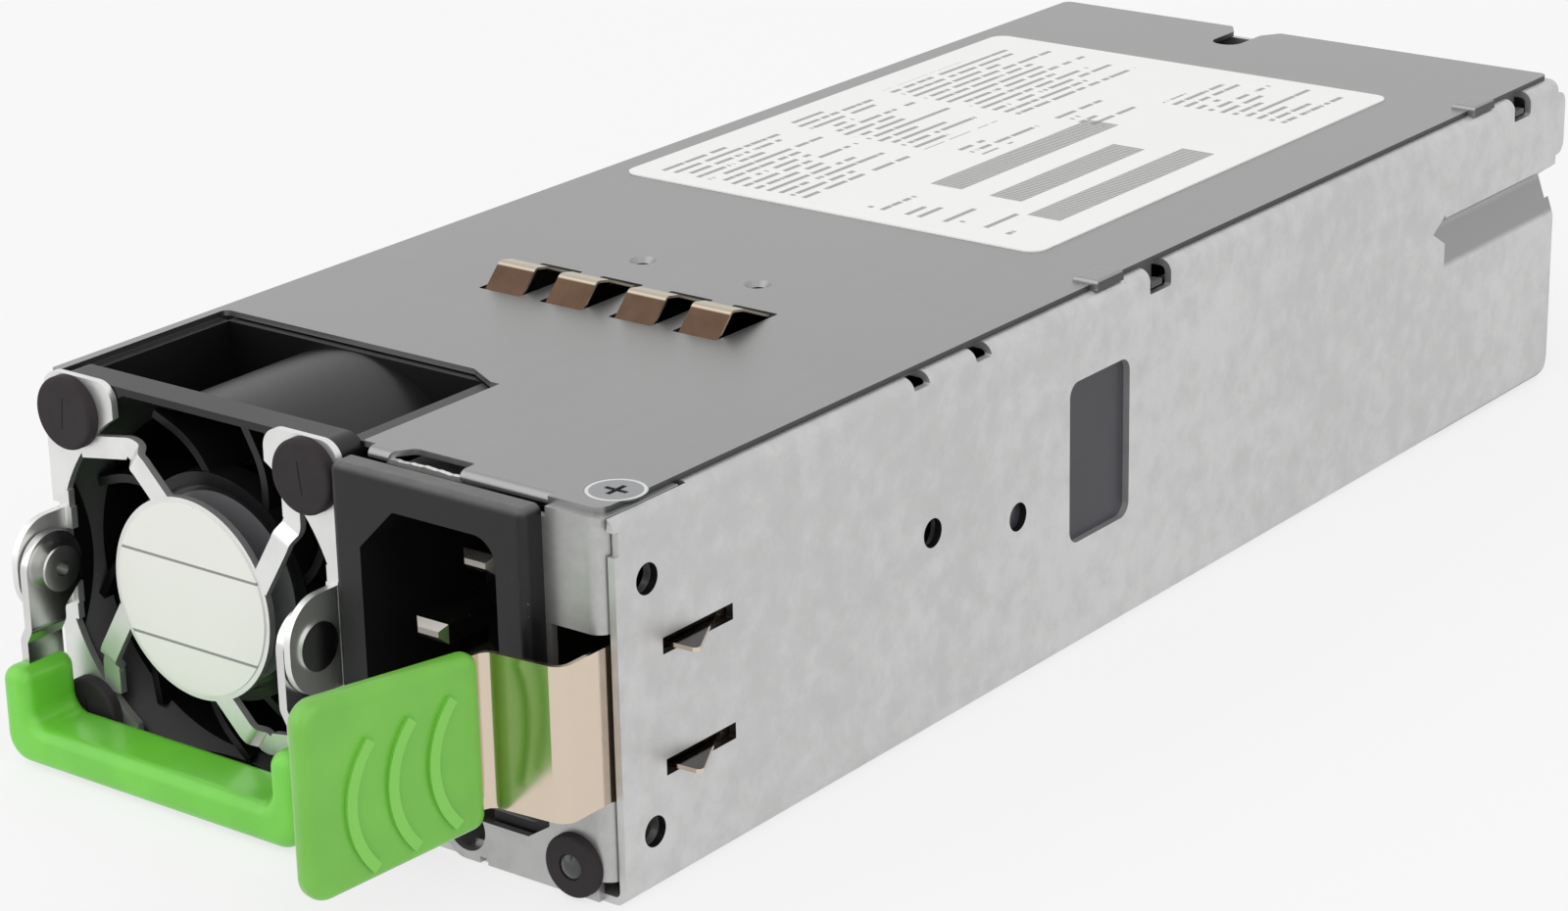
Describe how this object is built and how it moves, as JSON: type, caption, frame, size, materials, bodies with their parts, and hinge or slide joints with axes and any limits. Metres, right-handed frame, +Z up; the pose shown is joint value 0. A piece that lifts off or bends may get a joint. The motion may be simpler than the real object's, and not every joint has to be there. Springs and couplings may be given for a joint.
{
  "type": "server power supply",
  "caption": "Slim sheet-metal hot swap power supply with a fan and finger guard, turned mains inlet, folding handle, sprung side latch and rear blade connector.",
  "frame": {"origin": "middle of the case's bottom face, in the plane of the side walls' front edges; the case slides into its bay from there", "axes": "+X right as seen from the front, +Y from the front to the rear (the way it goes into its bay), +Z up"},
  "size_m": [0.0766, 0.2174, 0.0421],
  "materials": {
    "aluminium": "extruded aluminium",
    "black_plastic": "fine-textured moulded thermoplastic",
    "board": "green circuit board",
    "brass": "bright brass",
    "copper": "enamelled copper winding",
    "cover_steel": "satin galvanised sheet steel",
    "fan_plastic": "satin moulded fan plastic",
    "ferrite": "dark ferrite and tape",
    "film": "dark insulating film",
    "galvanised": "mottled galvanised sheet steel, satin",
    "green_plastic": "glossy lime green moulded plastic",
    "guard_steel": "bright nickel-plated stamped steel",
    "label_plug": "pale connector plastic",
    "label_white": "plain white printed film",
    "light_lens": "clear lens",
    "nickel": "bright nickel-plated spring steel",
    "pin_metal": "nickel-plated brass",
    "red_wire": "wire insulation",
    "rubber": "matt dark rubber",
    "sleeve": "capacitor sleeve",
    "spring_bronze": "plated beryllium copper",
    "steel": "turned steel",
    "yellow_box": "moulded component case"
  },
  "bodies": {
    "case": {"board_screws": "steel", "boost_choke": "copper", "bulk_capacitor": "sleeve", "chassis": "galvanised", "contact_spring": "spring_bronze", "control_board": "board", "cover_screw": "guard_steel", "earth_pin": "pin_metal", "fan_bearing": "brass", "fan_coil": "copper", "fan_frame": "fan_plastic", "fan_guard": "guard_steel", "fan_lead": "red_wire", "fan_plug": "label_plug", "fan_rivets": "rubber", "filter_capacitor": "yellow_box", "filter_choke": "copper", "front_plate": "galvanised", "fuse": "film", "guard_label": "label_white", "guide_pin": "brass", "handle_rivets": "guard_steel", "inlet_housing": "black_plastic", "insulator_sheet": "film", "latch_bracket": "galvanised", "latch_rivets": "steel", "led_grommet": "rubber", "live_pin": "pin_metal", "main_board": "board", "neutral_pin": "pin_metal", "output_capacitors": "sleeve", "output_heat_sink": "aluminium", "power_blades": "brass", "primary_heat_sink": "aluminium", "rating_label": "label_white", "rear_connector": "black_plastic", "relay": "sleeve", "signal_pins": "brass", "standoffs": "brass", "status_light": "light_lens", "top_cover": "cover_steel", "transformer": "ferrite"},
    "handle": {"handle_bail": "guard_steel", "handle_grip": "green_plastic"},
    "latch": {"latch_spring": "nickel", "latch_tab": "green_plastic"},
    "rotor": {"fan_rotor": "fan_plastic", "fan_shaft": "steel"}
  },
  "joints": [
    {"name": "handle_swing", "type": "hinge", "parent": "case", "child": "handle", "pos_m": [-0.0162, -0.0045, 0.02015], "axis": [-1, 0, 0], "range_deg": [0, 160]},
    {"name": "latch_press", "type": "hinge", "parent": "case", "child": "latch", "pos_m": [0.03427, 0.047, 0.0185], "axis": [0, 0, -1], "range_deg": [0, 5.3], "stiffness_Nm_per_rad": 3},
    {"name": "fan_spin", "type": "hinge", "parent": "case", "child": "rotor", "pos_m": [-0.0162, 0.0175, 0.01975], "axis": [0, 1, 0], "continuous": true}
  ]
}
